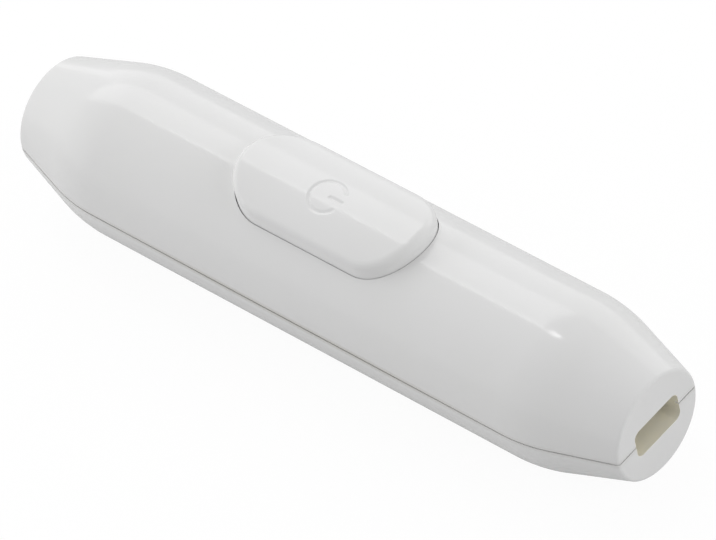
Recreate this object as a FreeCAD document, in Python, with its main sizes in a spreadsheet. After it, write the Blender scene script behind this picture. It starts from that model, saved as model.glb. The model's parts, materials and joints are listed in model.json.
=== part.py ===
import FreeCAD, Part
import math
import os
import Sketcher

# Inline cord switch: a round two-part housing with a latching push button.
# X runs along the cord, Z is up, and the origin is under the middle of the housing, on its resting flat.
# Every piece is drawn about the housing's long axis and is then lifted onto the resting flat.

DRIVING_SIZES = [
    # Housing
    ("body_diameter", 22.6, "housing, outside diameter of the straight middle"),
    ("overall_length", 98.4, "housing, end face to end face"),
    ("straight_length", 74.4, "housing, between the corners of the two tapers"),
    ("end_diameter", 14.9, "housing, diameter of the end faces"),
    ("shoulder_radius", 21.5, "rounding between the straight middle and the tapers"),
    ("end_rim_radius", 0.5, "rounding round the end faces"),
    ("shell_wall", 2.0, "wall of both shells"),
    ("end_wall", 4.0, "wall at the end faces, as long as the cord slot through it"),
    ("flat_cut", 0.7, "depth of the resting flat along the underside"),
    ("parting_gap", 0.25, "shadow gap between the shells"),
    ("parting_reveal", 0.6, "depth of the shadow gap"),
    ("tongue_offset", 0.4, "tongue, from the inside of the wall"),
    ("tongue_thickness", 0.7, "tongue on the lower shell"),
    ("tongue_height", 0.9, "tongue above the parting plane"),
    ("fit_clearance", 0.1, "tongue in its groove, and other close fits"),
    ("tongue_margin", 4.5, "tongue, short of the straight middle at each end"),
    ("slot_width", 8.2, "cord slot in the end faces"),
    ("slot_height", 4.3, "cord slot in the end faces"),
    ("slot_corner", 1.0, "corner radius of the cord slot"),
    # Button
    ("button_length", 29.1, "button, along the housing"),
    ("button_width", 13.3, "button, across the housing"),
    ("button_gap", 0.1, "gap round the button"),
    ("button_raise", 2.2, "crown of the button above the crown of the housing"),
    ("button_edge", 1.2, "rounded edge of the button"),
    ("button_wall", 1.2, "skirt of the button"),
    ("button_cap", 3.1, "button, from its crown down to its flat ceiling"),
    ("button_skin", 1.6, "button, thickness at the crown over the hollowed stretches"),
    ("button_travel", 2.2, "full press of the button"),
    ("guide_wall", 1.2, "collar round the button opening, inside the upper shell"),
    ("guide_depth", 5.8, "lower edge of that collar below the crown of the housing"),
    ("lip_reach", 0.9, "stop lips at the ends of the button, outwards"),
    ("lip_height", 0.8, "thickness of the stop lips"),
    ("lip_width", 6.0, "stop lips, across the housing"),
    ("socket_wall", 1.0, "socket under the button for the plunger"),
    ("socket_depth", 2.0, "socket under the button for the plunger"),
    # Plunger and latch
    ("plunger_length", 8.4, "plunger, along the housing"),
    ("plunger_width", 6.4, "plunger, across the housing"),
    ("foot_clearance", 0.8, "contact bridge above the cradle floor, fully pressed"),
    ("running_clearance", 0.2, "plunger in its guide, on each side"),
    ("spring_wire", 0.4, "return spring, wire diameter"),
    ("spring_diameter", 3.2, "return spring, mean diameter"),
    ("spring_turns", 6.0, "return spring, turns"),
    ("spring_ceiling", 3.6, "upper seat of the return spring above the axis"),
    ("spring_bore", 4.0, "spring bore in the plunger"),
    ("spring_post_height", 1.6, "post in the cradle that centres the return spring"),
    ("cam_depth", 0.85, "depth of the heart cam"),
    ("cam_entry", 0.8, "where the latch wire rests in the cam, above the axis"),
    ("cam_slope", 0.65, "sideways step of the cam lane for each step of height"),
    ("cam_lane", 0.72, "half width of the cam lane"),
    ("cam_shoulder", 0.4, "shoulders of the heart below the top of its lane"),
    ("cam_horn", 0.3, "horns of the heart above its shoulders"),
    ("cam_notch", 0.2, "notch of the heart below its shoulders"),
    ("wire_diameter", 0.6, "latch wire"),
    ("wire_bend", 0.45, "bend radius of the latch wire"),
    ("wire_clearance", 0.15, "latch wire from the cradle"),
    ("pivot_rise", 1.6, "pivot of the latch wire above the underside of the guide block"),
    ("latch_window", 2.4, "height of the opening for the latch wire"),
    ("leaf_thickness", 0.25, "latch leaf spring"),
    ("leaf_width", 3.0, "latch leaf spring"),
    # Cradle
    ("cradle_length", 16.0, "guide block, along the housing"),
    ("cradle_wall", 1.2, "guide block, long walls"),
    ("cradle_top", 3.0, "upper edge of the guide block above the axis"),
    ("cradle_clearance", 0.75, "lowest corners of the guide block from the inside of the wall"),
    ("cradle_floor", 1.2, "floor of the guide block"),
    ("ear_radius", 1.5, "screw ears of the guide block"),
    ("ear_height", 3.0, "screw ears of the guide block"),
    ("ear_x", 9.6, "screw ears, from the middle"),
    ("ear_clearance", 0.27, "screw ears from the neutral link"),
    # Contacts and terminals
    ("strip_thickness", 0.6, "brass strips"),
    ("strip_rise", 1.8, "underside of the brass strips above that of the guide block"),
    ("strip_clearance", 0.4, "brass strips from the inside of the wall"),
    ("strip_bend", 0.5, "outer radius of the bends in the strips and the bridge"),
    ("strip_width", 3.0, "live strips at the contacts"),
    ("rail_width", 2.0, "brass strips beside the terminals"),
    ("blade_top", 1.0, "upper edge of the fixed contacts below the axis"),
    ("bridge_thickness", 0.4, "contact bridge"),
    ("bridge_arm_width", 3.2, "contact bridge, arms"),
    ("bridge_arm_top", 1.6, "contact bridge, upper end of the arms above the axis"),
    ("dome_radius", 0.75, "contact domes"),
    ("dome_height", 0.6, "contact domes"),
    ("dome_level", 0.2, "contact domes above the axis"),
    ("dome_rounding", 0.36, "rounding of the contact domes"),
    ("contact_clearance", 0.1, "contact domes from the fixed contacts"),
    ("terminal_x", 24.3, "terminals, from the middle"),
    ("terminal_clearance", 0.55, "terminal blocks from the inside of the wall"),
    ("terminal_length", 5.0, "terminal block, along the housing"),
    ("terminal_width", 4.6, "terminal block, across the housing"),
    ("terminal_height", 5.4, "terminal block"),
    ("terminal_chamfer", 0.4, "upper edges of the terminal block"),
    ("wire_bore", 2.2, "terminal block, hole for the conductor"),
    ("wire_bore_rise", 2.2, "conductor hole above the underside of the block"),
    # Screws and clamps
    ("thread_clearance", 0.05, "screws in their holes, on the radius"),
    ("cover_screw_x", 19.5, "cover screws, from the middle"),
    ("cover_screw_diameter", 2.5, "cover screws, shank"),
    ("cover_head_diameter", 4.6, "cover screws, head"),
    ("cover_head_height", 1.7, "cover screws, head"),
    ("cover_recess", 3.4, "seat of the cover screw heads above the resting flat"),
    ("cover_screw_reach", 4.6, "tips of the cover screws above the axis"),
    ("cover_boss_diameter", 6.0, "bosses for the cover screws"),
    ("cover_boss_level", 3.4, "where the bosses meet, below the axis"),
    ("head_clearance", 0.2, "screw heads in their recesses, on the radius"),
    ("terminal_screw_diameter", 2.4, "terminal screws, shank"),
    ("terminal_head_diameter", 3.8, "terminal screws, head"),
    ("terminal_head_height", 1.5, "terminal screws, head"),
    ("terminal_screw_length", 2.8, "terminal screws, shank"),
    ("clamp_inset", 3.2, "cord clamps, from the ends of the straight middle"),
    ("clamp_clearance", 0.4, "heads of the clamp screws from the inside of the wall"),
    ("clamp_width", 5.0, "cord clamps, along the housing"),
    ("clamp_margin", 1.7, "cord clamps, beyond the screws"),
    ("clamp_corner", 1.2, "cord clamps, corner radius"),
    ("clamp_rib_width", 1.0, "gripping rib under the cord clamps"),
    ("clamp_rib_height", 0.3, "gripping rib under the cord clamps"),
    ("clamp_thickness", 1.8, "cord clamps"),
    ("clamp_level", 2.4, "underside of the cord clamps above the axis"),
    ("clamp_post_diameter", 3.0, "posts under the cord clamps"),
    ("clamp_screw_diameter", 2.0, "clamp screws, shank"),
    ("clamp_head_diameter", 3.4, "clamp screws, head"),
    ("clamp_head_height", 1.3, "clamp screws, head"),
    ("clamp_screw_length", 7.0, "clamp screws, shank"),
    ("saddle_thickness", 1.2, "ribs under the cord"),
    ("cradle_screw_diameter", 1.6, "cradle screws, shank"),
    ("cradle_head_diameter", 2.8, "cradle screws, head"),
    ("cradle_head_height", 1.0, "cradle screws, head"),
    ("cradle_screw_length", 5.0, "cradle screws, shank"),
]

doc = FreeCAD.newDocument("InlineCordSwitch")
sheet = doc.addObject("Spreadsheet::Sheet", "Sizes")
for row, (alias, value, meaning) in enumerate(DRIVING_SIZES, start=1):
    sheet.set("A%d" % row, meaning)
    sheet.set("B%d" % row, str(value))
    sheet.setAlias("B%d" % row, alias)
doc.recompute()


class Size:
    """A length that carries its spreadsheet expression beside its present value."""

    def __init__(self, text, value):
        self.text = text
        self.value = value

    def __add__(self, other):
        other = as_size(other)
        return Size("(%s + %s)" % (self.text, other.text), self.value + other.value)

    def __sub__(self, other):
        other = as_size(other)
        return Size("(%s - %s)" % (self.text, other.text), self.value - other.value)

    def __mul__(self, other):
        other = as_size(other)
        return Size("(%s * %s)" % (self.text, other.text), self.value * other.value)

    def __truediv__(self, other):
        other = as_size(other)
        return Size("(%s / %s)" % (self.text, other.text), self.value / other.value)

    def __neg__(self):
        return Size("(0 - %s)" % self.text, -self.value)

    def __radd__(self, other):
        return as_size(other) + self

    def __rsub__(self, other):
        return as_size(other) - self

    def __rmul__(self, other):
        return as_size(other) * self


def as_size(measure):
    if isinstance(measure, Size):
        return measure
    return Size("(%r)" % float(measure), float(measure))


def root(square):
    return Size("sqrt(%s)" % square.text, math.sqrt(square.value))


def size(alias):
    return Size("Sizes." + alias, float(sheet.get(alias)))


def bind(thing, prop, measure):
    thing.setExpression(prop, as_size(measure).text)


# Values that several pieces share

BODY_RADIUS = size("body_diameter") / 2
INNER_RADIUS = BODY_RADIUS - size("shell_wall")
END_RADIUS = size("end_diameter") / 2
HALF_LENGTH = size("overall_length") / 2
HALF_STRAIGHT = size("straight_length") / 2
AXIS_HEIGHT = BODY_RADIUS - size("flat_cut")
CROWN = BODY_RADIUS + size("button_raise")
GUIDE_LEVEL = BODY_RADIUS - size("guide_depth")
BUTTON_CEILING = CROWN - size("button_cap")
BUTTON_FOOT = GUIDE_LEVEL - size("fit_clearance") - size("lip_height")
PLUNGER_X = size("plunger_length") / 2
PLUNGER_Y = size("plunger_width") / 2
WELL_Y = PLUNGER_Y + size("running_clearance")
CRADLE_Y = WELL_Y + size("cradle_wall")
WELL_X = PLUNGER_X + size("bridge_thickness") + size("dome_height") + size("contact_clearance")
ENDS = (-1, 1)
ON_AXIS = as_size(0)
NEAR = 1e-3


def inside_wall(clearance, level):
    """How far from the axis a corner may reach at a level, with a clearance to the inside of the wall."""
    reach = INNER_RADIUS - size(clearance)
    return root(reach * reach - level * level)


CRADLE_SEAT = -inside_wall("cradle_clearance", CRADLE_Y)
CRADLE_FLOOR_TOP = CRADLE_SEAT + size("cradle_floor")
EAR_TOP = CRADLE_SEAT + size("ear_height")
PIVOT_LEVEL = CRADLE_SEAT + size("pivot_rise")
WIRE_Y = CRADLE_Y + size("wire_clearance") + size("wire_diameter") / 2
BRIDGE_BOTTOM = CRADLE_FLOOR_TOP + size("button_travel") + size("foot_clearance")
PLUNGER_FOOT = BRIDGE_BOTTOM + size("bridge_thickness")
STRIP_BOTTOM = CRADLE_SEAT + size("strip_rise")
STRIP_TOP = STRIP_BOTTOM + size("strip_thickness")
RAIL_OUTSIDE = inside_wall("strip_clearance", STRIP_BOTTOM)
RAIL_INSIDE = RAIL_OUTSIDE - size("rail_width")
EAR_Y = RAIL_INSIDE - size("ear_clearance") - size("ear_radius")
BLOCK_TOP = STRIP_TOP + size("terminal_height")
TERMINAL_Y = inside_wall("terminal_clearance", STRIP_TOP) - size("terminal_width") / 2
CLAMP_TOP = size("clamp_level") + size("clamp_thickness")
CLAMP_X = HALF_STRAIGHT - size("clamp_inset")
CLAMP_Y = (inside_wall("clamp_clearance", CLAMP_TOP + size("clamp_head_height"))
           - size("clamp_head_diameter") / 2)
COVER_BOSS = -size("cover_boss_level")
COVER_SEAT = size("cover_recess") - AXIS_HEIGHT


# Drawing helpers

def new_body(label):
    body = doc.addObject("PartDesign::Body", label)
    body.Label = label
    body.AllowCompound = True
    bind(body, "Placement.Base.z", AXIS_HEIGHT)
    return body


def sketch_on(body, plane, level=ON_AXIS):
    """A sketch on one of the body's own origin planes, moved along that plane's normal."""
    sketch = body.newObject("Sketcher::SketchObject", body.Label + "_sketch")
    support = next(item for item in body.Origin.OriginFeatures if item.Role == plane)
    sketch.AttachmentSupport = (support, [""])
    sketch.MapMode = "FlatFace"
    bind(sketch, "AttachmentOffset.Base.z", level)
    return sketch


def constrain(sketch, measure, *terms):
    measure = as_size(measure)
    index = sketch.addConstraint(Sketcher.Constraint(*terms, measure.value))
    sketch.setExpression("Constraints[%d]" % index, measure.text)


def pin(sketch, geometry, point, x, y):
    constrain(sketch, x, "DistanceX", -1, 1, geometry, point)
    constrain(sketch, y, "DistanceY", -1, 1, geometry, point)


def vector(x, y):
    return FreeCAD.Vector(as_size(x).value, as_size(y).value, 0)


def polygon(sketch, points):
    first = sketch.GeometryCount
    count = len(points)
    corners = [vector(x, y) for x, y in points]
    for i in range(count):
        sketch.addGeometry(Part.LineSegment(corners[i], corners[(i + 1) % count]), False)
    for i in range(count):
        following = first + (i + 1) % count
        sketch.addConstraint(Sketcher.Constraint("Coincident", first + i, 2, following, 1))
    for i, (x, y) in enumerate(points):
        pin(sketch, first + i, 1, x, y)


def rectangle(sketch, x_low, x_high, y_low, y_high):
    polygon(sketch, [(x_low, y_low), (x_high, y_low), (x_high, y_high), (x_low, y_high)])


def circle(sketch, x, y, radius):
    geometry = sketch.addGeometry(Part.Circle(vector(x, y), FreeCAD.Vector(0, 0, 1), as_size(radius).value))
    constrain(sketch, radius, "Radius", geometry)
    pin(sketch, geometry, 3, x, y)


def arc(sketch, x, y, radius, start, end):
    """An arc pinned at its centre, with the angles in degrees as a first guess."""
    ring = Part.Circle(vector(x, y), FreeCAD.Vector(0, 0, 1), as_size(radius).value)
    piece = Part.ArcOfCircle(ring, math.radians(start), math.radians(end))
    geometry = sketch.addGeometry(piece, False)
    constrain(sketch, radius, "Radius", geometry)
    pin(sketch, geometry, 3, x, y)
    return geometry


def line(sketch, x0, y0, x1, y1):
    return sketch.addGeometry(Part.LineSegment(vector(x0, y0), vector(x1, y1)), False)


def join_smoothly(sketch, links):
    for geometry, point, following, next_point in links:
        sketch.addConstraint(Sketcher.Constraint("Tangent", geometry, point, following, next_point))


def stadium(sketch, half_length, half_width):
    centre = half_length - half_width
    upper = line(sketch, centre, half_width, -centre, half_width)
    left = arc(sketch, -centre, ON_AXIS, half_width, 90, 270)
    lower = line(sketch, -centre, -half_width, centre, -half_width)
    right = arc(sketch, centre, ON_AXIS, half_width, -90, 90)
    join_smoothly(sketch, [(upper, 2, left, 1), (left, 2, lower, 1), (lower, 2, right, 1),
                           (right, 2, upper, 1)])


def rounded_rectangle(sketch, half_x, half_y, radius):
    x = half_x - radius
    y = half_y - radius
    upper = line(sketch, x, half_y, -x, half_y)
    upper_left = arc(sketch, -x, y, radius, 90, 180)
    left = line(sketch, -half_x, y, -half_x, -y)
    lower_left = arc(sketch, -x, -y, radius, 180, 270)
    lower = line(sketch, -x, -half_y, x, -half_y)
    lower_right = arc(sketch, x, -y, radius, 270, 360)
    right = line(sketch, half_x, -y, half_x, y)
    upper_right = arc(sketch, x, y, radius, 0, 90)
    ring = [upper, upper_left, left, lower_left, lower, lower_right, right, upper_right]
    join_smoothly(sketch, [(ring[i], 2, ring[(i + 1) % 8], 1) for i in range(8)])


def between_dome_and_flat(sketch, half_width, centre, radius, flat):
    """The region between a round crown and a flat line above or below it."""
    spring = as_size(centre) + root(radius * radius - half_width * half_width)
    angle = math.degrees(math.acos(half_width.value / radius.value))
    dome = arc(sketch, ON_AXIS, centre, radius, angle, 180 - angle)
    left = line(sketch, -half_width, spring, -half_width, flat)
    level = line(sketch, -half_width, flat, half_width, flat)
    right = line(sketch, half_width, flat, half_width, spring)
    chain = [dome, left, level, right]
    for i in range(4):
        sketch.addConstraint(Sketcher.Constraint("Coincident", chain[i], 2, chain[(i + 1) % 4], 1))
    for side in (left, right):
        sketch.addConstraint(Sketcher.Constraint("Vertical", side))
    pin(sketch, level, 1, -half_width, flat)
    pin(sketch, level, 2, half_width, flat)


# Solid helpers

def feature(body, kind, sketch):
    item = body.newObject("PartDesign::" + kind, body.Label + "_" + kind.lower())
    item.Profile = sketch
    return item


def pad(body, sketch, length, back=False):
    item = feature(body, "Pad", sketch)
    bind(item, "Length", length)
    item.Reversed = back
    return item


def pocket(body, sketch, length, back=False):
    """Cuts against the sketch's normal, or along it when back is set."""
    item = feature(body, "Pocket", sketch)
    bind(item, "Length", length)
    item.Reversed = back
    return item


def turn(body, kind, sketch, angle, back=False):
    item = feature(body, kind, sketch)
    item.ReferenceAxis = (sketch, ["H_Axis"])
    item.Angle = angle
    item.Reversed = back
    return item


def round_edges(body, radius, chosen):
    """Rounds the chosen edges of the body as it stands."""
    doc.recompute()
    base = body.Tip
    names = ["Edge%d" % (i + 1) for i, edge in enumerate(base.Shape.Edges) if chosen(edge)]
    item = body.newObject("PartDesign::Fillet", body.Label + "_rounding")
    item.Base = (base, names)
    bind(item, "Radius", radius)
    return item


def bevel_edges(body, reach, chosen):
    """Bevels the chosen edges of the body as it stands."""
    doc.recompute()
    base = body.Tip
    names = ["Edge%d" % (i + 1) for i, edge in enumerate(base.Shape.Edges) if chosen(edge)]
    item = body.newObject("PartDesign::Chamfer", body.Label + "_bevel")
    item.Base = (base, names)
    bind(item, "Size", reach)
    return item


def is_ring(edge, x, radius):
    """Whether an edge is an arc about the long axis at the given place and radius."""
    if not isinstance(edge.Curve, Part.Circle):
        return False
    same_place = abs(abs(edge.Curve.Center.x) - x.value) < NEAR
    return same_place and abs(edge.Curve.Radius - radius.value) < NEAR


def is_straight(edge, **place):
    """Whether an edge is a straight line whose box has the given limits, such as ZMin or XLength."""
    if not isinstance(edge.Curve, Part.Line):
        return False
    return all(abs(getattr(edge.BoundBox, limit) - as_size(at).value) < NEAR for limit, at in place.items())


# Housing

def half_shell(body, lower):
    """A hollow half of the turned housing, with the cord slot through both ends."""
    taper = HALF_LENGTH - HALF_STRAIGHT
    cavity_end = HALF_LENGTH - size("end_wall")
    widening = (BODY_RADIUS - END_RADIUS) * size("end_wall") / taper
    cavity_radius = END_RADIUS + widening - size("shell_wall")
    profile = sketch_on(body, "XY_Plane")
    polygon(profile, [
        (-HALF_LENGTH, ON_AXIS), (-HALF_LENGTH, END_RADIUS), (-HALF_STRAIGHT, BODY_RADIUS),
        (HALF_STRAIGHT, BODY_RADIUS), (HALF_LENGTH, END_RADIUS), (HALF_LENGTH, ON_AXIS),
        (cavity_end, ON_AXIS), (cavity_end, cavity_radius), (HALF_STRAIGHT, INNER_RADIUS),
        (-HALF_STRAIGHT, INNER_RADIUS), (-cavity_end, cavity_radius), (-cavity_end, ON_AXIS)])
    turn(body, "Revolution", profile, 180, back=lower)
    slot = sketch_on(body, "YZ_Plane", -HALF_LENGTH)
    rounded_rectangle(slot, size("slot_width") / 2, size("slot_height") / 2, size("slot_corner"))
    pocket(body, slot, size("overall_length"), back=True)


def finish_outside(body):
    """Cuts off whatever stands out of the housing, then rounds the shoulders and the end rims."""
    profile = sketch_on(body, "XY_Plane")
    polygon(profile, [
        (-HALF_LENGTH, END_RADIUS), (-HALF_STRAIGHT, BODY_RADIUS), (HALF_STRAIGHT, BODY_RADIUS),
        (HALF_LENGTH, END_RADIUS), (HALF_LENGTH, BODY_RADIUS * 2), (-HALF_LENGTH, BODY_RADIUS * 2)])
    turn(body, "Groove", profile, 360)
    round_edges(body, size("shoulder_radius"), lambda edge: is_ring(edge, HALF_STRAIGHT, BODY_RADIUS))
    round_edges(body, size("end_rim_radius"), lambda edge: is_ring(edge, HALF_LENGTH, END_RADIUS))


def shadow_gap(body, up):
    """Sets the outer edge of a shell back from the parting plane."""
    inset = size("parting_reveal")
    x = HALF_LENGTH - inset
    y_end = END_RADIUS - inset
    y_mid = BODY_RADIUS - inset
    sketch = sketch_on(body, "XY_Plane")
    rectangle(sketch, -HALF_LENGTH * 2, HALF_LENGTH * 2, -BODY_RADIUS * 2, BODY_RADIUS * 2)
    polygon(sketch, [
        (x, -y_end), (x, y_end), (HALF_STRAIGHT, y_mid), (-HALF_STRAIGHT, y_mid),
        (-x, y_end), (-x, -y_end), (-HALF_STRAIGHT, -y_mid), (HALF_STRAIGHT, -y_mid)])
    pocket(body, sketch, size("parting_gap") / 2, back=up)


def tongues(sketch, clearance):
    inner = INNER_RADIUS + size("tongue_offset") - clearance
    outer = INNER_RADIUS + size("tongue_offset") + size("tongue_thickness") + clearance
    reach = HALF_STRAIGHT - size("tongue_margin") + clearance
    rectangle(sketch, -reach, reach, inner, outer)
    rectangle(sketch, -reach, reach, -outer, -inner)


def cover_screw_circles(sketch, radius):
    for end in ENDS:
        circle(sketch, size("cover_screw_x") * end, ON_AXIS, radius)


def clamp_screw_circles(sketch, radius):
    for end in ENDS:
        for side in ENDS:
            circle(sketch, CLAMP_X * end, CLAMP_Y * side, radius)


def terminal_circles(sketch, radius):
    for end in ENDS:
        for side in ENDS:
            circle(sketch, size("terminal_x") * end, TERMINAL_Y * side, radius)


def ear_circles(sketch, radius):
    for end in ENDS:
        circle(sketch, size("ear_x") * end, EAR_Y, radius)


def hole_radius(diameter):
    return size(diameter) / 2 + size("thread_clearance")


def build_upper_shell():
    body = new_body("upper_shell")
    half_shell(body, lower=False)
    opening_length = size("button_length") / 2 + size("button_gap")
    opening_width = size("button_width") / 2 + size("button_gap")

    bosses = sketch_on(body, "XY_Plane", COVER_BOSS)
    cover_screw_circles(bosses, size("cover_boss_diameter") / 2)
    pad(body, bosses, BODY_RADIUS - COVER_BOSS)
    collar = sketch_on(body, "XY_Plane", GUIDE_LEVEL)
    stadium(collar, opening_length + size("guide_wall"), opening_width + size("guide_wall"))
    pad(body, collar, size("guide_depth"))
    finish_outside(body)

    opening = sketch_on(body, "XY_Plane")
    stadium(opening, opening_length, opening_width)
    pocket(body, opening, BODY_RADIUS * 2, back=True)
    shadow_gap(body, up=True)
    grooves = sketch_on(body, "XY_Plane")
    tongues(grooves, size("fit_clearance"))
    pocket(body, grooves, size("tongue_height") + size("fit_clearance"), back=True)
    pilots = sketch_on(body, "XY_Plane", COVER_BOSS)
    cover_screw_circles(pilots, hole_radius("cover_screw_diameter"))
    pocket(body, pilots, size("cover_screw_reach") - COVER_BOSS + size("head_clearance"), back=True)
    return body


def build_lower_shell():
    body = new_body("lower_shell")
    half_shell(body, lower=True)

    def rise(level, draw):
        """Something that stands on the inside of the shell, up to a level."""
        sketch = sketch_on(body, "XY_Plane", level)
        draw(sketch)
        pad(body, sketch, BODY_RADIUS + level, back=True)

    def saddle_ribs(sketch):
        half = size("slot_width") / 2
        for end in ENDS:
            middle = CLAMP_X * end
            rectangle(sketch, middle - size("saddle_thickness") / 2, middle + size("saddle_thickness") / 2,
                      -half, half)

    def terminal_seats(sketch):
        for end in ENDS:
            for side in ENDS:
                x = size("terminal_x") * end
                y = TERMINAL_Y * side
                rectangle(sketch, x - size("terminal_length") / 2, x + size("terminal_length") / 2,
                          y - size("terminal_width") / 2, y + size("terminal_width") / 2)

    def cradle_ribs(sketch):
        for end in ENDS:
            middle = PLUNGER_X * end
            rectangle(sketch, middle - size("saddle_thickness") / 2, middle + size("saddle_thickness") / 2,
                      -CRADLE_Y, CRADLE_Y)

    rise(COVER_BOSS, lambda sketch: cover_screw_circles(sketch, size("cover_boss_diameter") / 2))
    rise(size("clamp_level"), lambda sketch: clamp_screw_circles(sketch, size("clamp_post_diameter") / 2))
    rise(-size("slot_height") / 2, saddle_ribs)
    rise(STRIP_BOTTOM, terminal_seats)
    rise(CRADLE_SEAT, cradle_ribs)
    rise(CRADLE_SEAT, lambda sketch: ear_circles(sketch, size("ear_radius")))
    finish_outside(body)

    flat = sketch_on(body, "XY_Plane", -AXIS_HEIGHT)
    rectangle(flat, -HALF_LENGTH, HALF_LENGTH, -BODY_RADIUS, BODY_RADIUS)
    pocket(body, flat, BODY_RADIUS)
    shadow_gap(body, up=False)
    lips = sketch_on(body, "XY_Plane")
    tongues(lips, ON_AXIS)
    pad(body, lips, size("tongue_height"))

    holes = sketch_on(body, "XY_Plane", COVER_BOSS)
    cover_screw_circles(holes, hole_radius("cover_screw_diameter"))
    pocket(body, holes, BODY_RADIUS)
    recesses = sketch_on(body, "XY_Plane", COVER_SEAT)
    cover_screw_circles(recesses, size("cover_head_diameter") / 2 + size("head_clearance"))
    pocket(body, recesses, BODY_RADIUS)
    posts = sketch_on(body, "XY_Plane", size("clamp_level"))
    clamp_screw_circles(posts, hole_radius("clamp_screw_diameter"))
    pocket(body, posts, size("clamp_screw_length") - size("clamp_thickness") + size("head_clearance"))
    ears = sketch_on(body, "XY_Plane", CRADLE_SEAT)
    ear_circles(ears, hole_radius("cradle_screw_diameter"))
    pocket(body, ears, size("cradle_screw_length") - size("ear_height") + size("head_clearance"))
    return body


# Button and plunger

def build_button():
    body = new_body("button")
    half_length = size("button_length") / 2
    half_width = size("button_width") / 2
    block = sketch_on(body, "XY_Plane", BUTTON_FOOT)
    stadium(block, half_length, half_width)
    pad(body, block, CROWN - BUTTON_FOOT + size("button_edge"))

    crown = sketch_on(body, "YZ_Plane", -half_length)
    between_dome_and_flat(crown, half_width + size("button_gap"), size("button_raise"), BODY_RADIUS,
                          CROWN + size("button_edge") * 2)
    pocket(body, crown, size("button_length"), back=True)
    side_top = size("button_raise") + root(BODY_RADIUS * BODY_RADIUS - half_width * half_width)
    round_edges(body, size("button_edge"), lambda edge: edge.BoundBox.ZMin > side_top.value - NEAR)

    hollow = sketch_on(body, "XY_Plane", BUTTON_FOOT)
    stadium(hollow, half_length - size("button_wall"), half_width - size("button_wall"))
    pocket(body, hollow, BUTTON_CEILING - BUTTON_FOOT, back=True)
    socket_x = PLUNGER_X + size("fit_clearance")
    socket_y = PLUNGER_Y + size("fit_clearance")
    vault_start = socket_x + size("socket_wall")
    vault_end = half_length - half_width
    vault_width = half_width - size("button_wall") * 2
    for start in (vault_start, -vault_end):
        vault = sketch_on(body, "YZ_Plane", start)
        between_dome_and_flat(vault, vault_width, size("button_raise"), BODY_RADIUS - size("button_skin"),
                              BUTTON_CEILING - size("button_skin"))
        pocket(body, vault, vault_end - vault_start, back=True)

    socket = sketch_on(body, "XY_Plane", BUTTON_CEILING)
    socket_outside = socket_y + size("socket_wall")
    rectangle(socket, -vault_start, vault_start, -socket_outside, socket_outside)
    rectangle(socket, -socket_x, socket_x, -socket_y, socket_y)
    pad(body, socket, size("socket_depth"), back=True)

    lips = sketch_on(body, "XY_Plane", BUTTON_FOOT)
    inside = half_length - size("button_wall")
    outside = half_length + size("lip_reach")
    half_lip = size("lip_width") / 2
    rectangle(lips, inside, outside, -half_lip, half_lip)
    rectangle(lips, -outside, -inside, -half_lip, half_lip)
    pad(body, lips, size("lip_height"))
    return body


def heart_cam(body):
    """The loop that the latch wire runs round, with the heart-shaped island in its middle."""
    entry = size("cam_entry")
    lane = size("cam_lane")
    slope = size("cam_slope")
    reach = slope * size("button_travel")
    top = entry + size("button_travel")
    wire = size("wire_diameter")
    foot = entry - lane
    outer = reach + wire
    track = sketch_on(body, "XZ_Plane", PLUNGER_Y)
    polygon(track, [(-lane, foot), (lane, foot), (outer, top - wire), (outer, top + wire),
                    (-outer, top + wire), (-outer, top - wire)])
    point = entry + lane / slope
    side = top - size("cam_shoulder")
    side_x = slope * (side - point)
    horn = side + size("cam_horn")
    polygon(track, [(ON_AXIS, point), (side_x, side), (side_x / 2, horn), (ON_AXIS, side - size("cam_notch")),
                    (side_x / -2, horn), (-side_x, side)])
    pocket(body, track, size("cam_depth"))


def build_plunger():
    body = new_body("plunger")
    block = sketch_on(body, "XY_Plane", PLUNGER_FOOT)
    rectangle(block, -PLUNGER_X, PLUNGER_X, -PLUNGER_Y, PLUNGER_Y)
    pad(body, block, BUTTON_CEILING - PLUNGER_FOOT)
    bore = sketch_on(body, "XY_Plane", PLUNGER_FOOT)
    circle(bore, ON_AXIS, ON_AXIS, size("spring_bore") / 2)
    pocket(body, bore, size("spring_ceiling") - PLUNGER_FOOT, back=True)
    heart_cam(body)
    return body


def build_return_spring():
    body = new_body("return_spring")
    rest = size("fit_clearance") / 2 + size("spring_wire") / 2
    start = CRADLE_FLOOR_TOP + rest
    section = sketch_on(body, "XZ_Plane")
    circle(section, size("spring_diameter") / 2, start, size("spring_wire") / 2)
    coil = feature(body, "AdditiveHelix", section)
    coil.ReferenceAxis = (section, ["V_Axis"])
    coil.Mode = "height-turns-angle"
    bind(coil, "Height", size("spring_ceiling") - rest - start)
    bind(coil, "Turns", size("spring_turns"))
    return body


def build_contact_bridge():
    body = new_body("contact_bridge")
    reach = PLUNGER_X + size("bridge_thickness")
    base = sketch_on(body, "XY_Plane", PLUNGER_FOOT)
    half_base = PLUNGER_Y - size("running_clearance")
    rectangle(base, -reach, reach, -half_base, half_base)
    circle(base, ON_AXIS, ON_AXIS, size("spring_bore") / 2)
    pad(body, base, size("bridge_thickness"), back=True)
    arms = sketch_on(body, "XY_Plane", BRIDGE_BOTTOM)
    half_arm = size("bridge_arm_width") / 2
    rectangle(arms, PLUNGER_X, reach, -half_arm, half_arm)
    rectangle(arms, -reach, -PLUNGER_X, -half_arm, half_arm)
    pad(body, arms, size("bridge_arm_top") - BRIDGE_BOTTOM)
    for end in ENDS:
        bend_line = {"XMin": reach * end, "XLength": 0, "ZLength": 0, "ZMin": BRIDGE_BOTTOM}
        round_edges(body, size("strip_bend"), lambda edge: is_straight(edge, **bend_line))
    return body


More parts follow.
